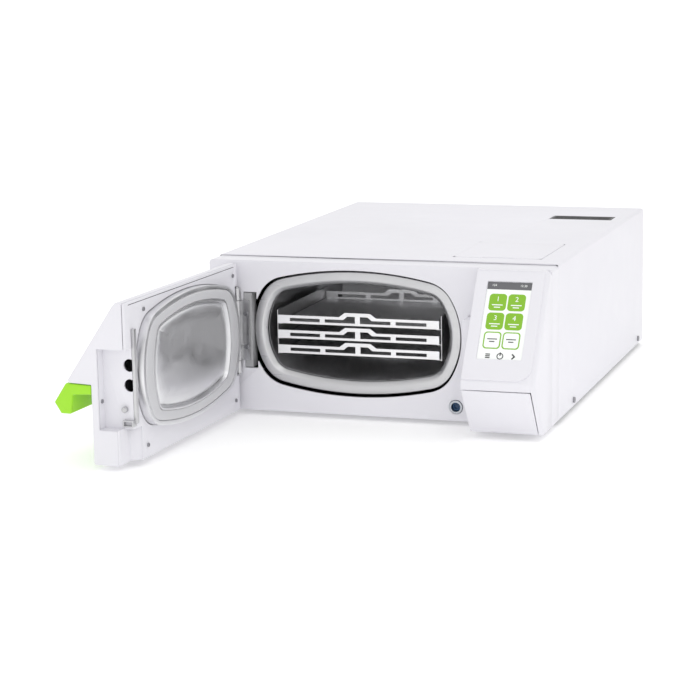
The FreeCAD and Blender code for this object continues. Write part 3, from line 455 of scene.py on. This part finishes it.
def add_tile(name, across, up, width, height, corner, lift, material):
    """A thin lit area with rounded corners, lift above the glass."""
    piece = new_block((across, up, lift), (width, height, 0.1))
    pick_edges(piece, lambda first, second: abs(first.z - second.z) > 0.05 * MM)
    bevel_picked(corner, 6)
    settle(piece, name, PANEL_PLACE, "housing", material)


def add_numeral(name, text, across, up, size, lift, material):
    """A plain numeral, made a mesh before its place is applied."""
    pick_none()
    bpy.ops.object.text_add(location=(across * MM, up * MM, lift * MM))
    piece = bpy.context.active_object
    piece.data.body = text
    piece.data.size = size * MM
    piece.data.extrude = 0.04 * MM
    piece.data.align_x = "CENTER"
    piece.data.align_y = "CENTER"
    pick_only(piece)
    bpy.ops.object.convert(target="MESH")
    piece = bpy.context.active_object
    bpy.ops.object.transform_apply(location=True, rotation=True, scale=True)
    settle(piece, name, PANEL_PLACE, "housing", material)


def make_display():
    add_tile("display_field", 0, 0, SCREEN_WIDTH, SCREEN_HEIGHT, 0.4, 0.05, LIT_WHITE)
    add_tile("display_bar", 0, SCREEN_HEIGHT / 2 - BAR_HEIGHT / 2, SCREEN_WIDTH, BAR_HEIGHT, 0.4, 0.12,
             LIT_GREY)
    add_numeral("bar_number_left", "134", -17, SCREEN_HEIGHT / 2 - 4, 3.6, 0.24, LIT_WHITE)
    add_numeral("bar_number_right", "12:30", 15.5, SCREEN_HEIGHT / 2 - 4, 3.6, 0.24, LIT_WHITE)
    number = 1
    for row, up in enumerate(ROWS[:2]):
        for across in COLUMNS:
            label = "tile_%d" % number
            add_tile(label, across, up, TILE_WIDTH, TILE_HEIGHT, 4, 0.14, LIT_GREEN)
            add_numeral(label + "_number", str(number), across, up + 3.6, 8, 0.26, LIT_WHITE)
            add_tile(label + "_line_long", across, up - 3.2, 12, 1.1, 0.4, 0.24, LIT_WHITE)
            add_tile(label + "_line_short", across, up - 6, 7, 1.1, 0.4, 0.24, LIT_WHITE)
            number += 1
    for column, across in enumerate(COLUMNS):
        label = "outlined_tile_%d" % (column + 1)
        add_tile(label, across, ROWS[2], TILE_WIDTH, TILE_HEIGHT, 4, 0.14, LIT_GREEN)
        add_tile(label + "_inside", across, ROWS[2], TILE_WIDTH - TILE_RIM, TILE_HEIGHT - TILE_RIM, 3.0,
                 0.24, LIT_WHITE)
        add_tile(label + "_line_long", across, ROWS[2] + 1.4, 11, 1.1, 0.4, 0.34, LIT_DARK)
        add_tile(label + "_line_short", across, ROWS[2] - 1.6, 6, 1.1, 0.4, 0.34, LIT_DARK)
    for number, up in enumerate((-39.6, -41.6, -43.6)):
        add_tile("menu_bar_%d" % (number + 1), -13, up, 5, 1.2, 0.3, 0.24, LIT_DARK)
    ring = new_rod((0.6, FOOT_ROW, 0.22), "Z", 3.7, 0.12, 40)
    pick_faces(ring, lambda middle, normal: abs(normal.z) > 0.9)
    bpy.ops.mesh.inset(thickness=1.0 * MM, use_individual=True)
    bpy.ops.mesh.bridge_edge_loops()
    bpy.ops.object.mode_set(mode="OBJECT")
    settle(ring, "power_ring", PANEL_PLACE, "housing", LIT_DARK)
    add_tile("power_stroke", 0.6, -39.2, 1.2, 4, 0.3, 0.3, LIT_DARK)
    for name, side in (("chevron_upper", 1), ("chevron_lower", -1)):
        arm = new_block((0, 0, 0.24), (4.6, 1.5, 0.1))
        place = Matrix.Translation(Vector((15.2, FOOT_ROW + side * 1.25, 0)) * MM)
        arm.data.transform(place @ Matrix.Rotation(-side * math.radians(45), 4, "Z"))
        settle(arm, name, PANEL_PLACE, "housing", LIT_DARK)


def make_face_moulding():
    """The raised moulding on the slanted face: it frames the display, and its lower right is rounded."""
    plate = new_block((-0.4, -6.4, 0.6), (75.6, 128, 2.5))
    pick_edges(plate, lambda first, second: abs(first.z - second.z) > 1 * MM
               and first.y < -20 * MM and first.x > 0)
    bevel_picked(17, 12)
    pick_edges(plate, lambda first, second: abs(first.z - second.z) > 1 * MM
               and (first.y > 20 * MM or first.x < -30 * MM))
    bevel_picked(2.5, 5)
    cutter = new_block((0, 0, 0.3), (SCREEN_WIDTH + 0.6, SCREEN_HEIGHT + 0.6, 8))
    window = plate.modifiers.new("window", "BOOLEAN")
    window.operation = "DIFFERENCE"
    window.object = cutter
    pick_only(plate)
    bpy.ops.object.modifier_apply(modifier=window.name)
    bpy.data.objects.remove(cutter)
    round_all(plate, 0.8, 4)
    settle(plate, "face_moulding", PANEL_PLACE, "housing", FINISH["moulded_white"])


make_display()
make_face_moulding()


# ---------------------------------------------------------------- small parts of the door and port

# Middles in millimetres on the machine's own axes, those on the door with the door shut.
PIN_MIDDLE = (305.4, -12.5, 58)
KEEPER_MIDDLE = (303.5, -8.5, 43.5)
POCKET_SCREW_MIDDLE = (309, -36.2, 66)
# The next middle places the strip of painted shadow along the top of the door.
SEAM_SHADOW_MIDDLE = (176, -3.83, 167.4)
PORT_MIDDLE = (290.6, 7.5, 15.8)


def make_latch_details():
    """The pin and keeper on the latch wall, and the screw in the pocket's side."""
    pin = new_rod(PIN_MIDDLE, "X", 3.1, 5)
    round_all(pin, 0.9)
    settle(pin, "latch_pin", TO_OPEN_DOOR, "door", FINISH["pin_steel"])
    keeper = new_block(KEEPER_MIDDLE, (9, 12, 7))
    pick_faces(keeper, lambda middle, normal: normal.x > 0.9)
    bpy.ops.mesh.inset(thickness=1.3 * MM)
    bpy.ops.mesh.extrude_region_move(TRANSFORM_OT_translate={"value": (-6 * MM, 0, 0)})
    bpy.ops.object.mode_set(mode="OBJECT")
    round_all(keeper, 0.4)
    settle(keeper, "latch_keeper", TO_OPEN_DOOR, "door", FINISH["satin_steel"])
    screw = new_rod(POCKET_SCREW_MIDDLE, "Y", 2.2, 1.4)
    pick_faces(screw, lambda middle, normal: normal.y > 0.9)
    bpy.ops.mesh.inset(thickness=1.0 * MM)
    bpy.ops.mesh.extrude_region_move(TRANSFORM_OT_translate={"value": (0, -0.8 * MM, 0)})
    bpy.ops.object.mode_set(mode="OBJECT")
    round_all(screw, 0.25)
    settle(screw, "pocket_screw", TO_OPEN_DOOR, "door", FINISH["screw_steel"])


def make_door_seam():
    """A thin black strip of painted shadow, standing for the shade in the gap where the inner moulding
    meets the cover's rim along the top.
    """
    seam_shadow = new_block(SEAM_SHADOW_MIDDLE, (262, 0.12, 0.7))
    pick_edges(seam_shadow, lambda first, second: abs(first.y - second.y) > 0.05 * MM)
    bevel_picked(0.3, 3)
    # Painted shadow: the black moulding finish darkens this strip to stand for the shade in the gap, not a
    # black part.
    settle(seam_shadow, "door_top_seam_shadow", TO_OPEN_DOOR, "door", FINISH["dark_plastic"])


def make_port_core():
    """The blue seal inside the front port, hollowed from its front."""
    core = new_rod(PORT_MIDDLE, "Y", 4.9, 7)
    pick_faces(core, lambda middle, normal: normal.y < -0.9)
    bpy.ops.mesh.inset(thickness=1.6 * MM)
    bpy.ops.mesh.extrude_region_move(TRANSFORM_OT_translate={"value": (0, 3 * MM, 0)})
    bpy.ops.object.mode_set(mode="OBJECT")
    round_all(core, 0.4)
    settle(core, "port_core", TO_ROW, "housing", PORT_BLUE)


PORT_BLUE = coated_material("blue_port_seal", (0.03, 0.10, 0.22), 0.3, 900, 0.00002, 0.2)
make_latch_details()
make_door_seam()
make_port_core()


# ---------------------------------------------------------------- stage, light and camera

def make_stage():
    bpy.ops.mesh.primitive_plane_add(size=160, location=(0, 0, 0))
    floor = bpy.context.active_object
    floor.name = "studio_floor"
    paper = coated_material("studio_floor", (0.97, 0.97, 0.97), 0.8, 40, 0.0001, 0.01)
    shader = paper.node_tree.nodes["Principled BSDF"]
    shader.inputs["Emission Color"].default_value = (1, 1, 1, 1)
    shader.inputs["Emission Strength"].default_value = 0.19
    floor.data.materials.append(paper)
    world = bpy.data.worlds.new("studio_world")
    bpy.context.scene.world = world
    world.use_nodes = True
    background = world.node_tree.nodes["Background"]
    background.inputs["Color"].default_value = (1.0, 1.0, 1.0, 1)
    background.inputs["Strength"].default_value = 0.97


def add_softbox(name, place, aim, size, power):
    bpy.ops.object.light_add(type="AREA", location=place)
    lamp = bpy.context.active_object
    lamp.name = name
    lamp.data.shape = "RECTANGLE"
    lamp.data.size = size[0]
    lamp.data.size_y = size[1]
    lamp.data.energy = power
    lamp.rotation_euler = (Vector(aim) - Vector(place)).to_track_quat("-Z", "Y").to_euler()


def make_lights():
    add_softbox("key_softbox", (0.9, -1.6, 2.4), (0, 0, 0.1), (1.2, 1.2), 3.5)
    add_softbox("left_softbox", (-2.2, -0.9, 1.6), (0, 0, 0.1), (1.2, 1.2), 1.0)
    add_softbox("front_softbox", (0.5, -2.6, 0.9), (0, -0.1, 0.08), (1.6, 1.2), 1.7)
    add_softbox("top_softbox", (0.2, 0.8, 2.6), (0, 0.2, 0.1), (2.0, 2.0), 6)


CAMERA_PLACE = (0.73418, -2.31259, 0.52786)
CAMERA_AZIMUTH = 18.66
CAMERA_ELEVATION = 10.97
CAMERA_ROLL = -1.04
CAMERA_LENS = 107.34
CAMERA_SENSOR = 36
CAMERA_REACH = 60


def make_camera():
    """Stand to the right of the front, a little above it, with a long lens."""
    turn, rise, roll = (math.radians(value) for value in (CAMERA_AZIMUTH, CAMERA_ELEVATION, CAMERA_ROLL))
    back = Vector((math.sin(turn) * math.cos(rise), -math.cos(turn) * math.cos(rise), math.sin(rise)))
    level = Vector((math.cos(turn), math.sin(turn), 0))
    upright = back.cross(level)
    right = math.cos(roll) * level + math.sin(roll) * upright
    up = math.cos(roll) * upright - math.sin(roll) * level
    bpy.ops.object.camera_add()
    camera = bpy.context.active_object
    camera.matrix_world = Matrix.Translation(CAMERA_PLACE) @ Matrix((right, up, back)).transposed().to_4x4()
    camera.data.lens = CAMERA_LENS
    camera.data.sensor_width = CAMERA_SENSOR
    camera.data.clip_end = CAMERA_REACH
    bpy.context.scene.camera = camera


make_stage()
make_lights()
make_camera()
bpy.context.scene.view_settings.view_transform = "Standard"
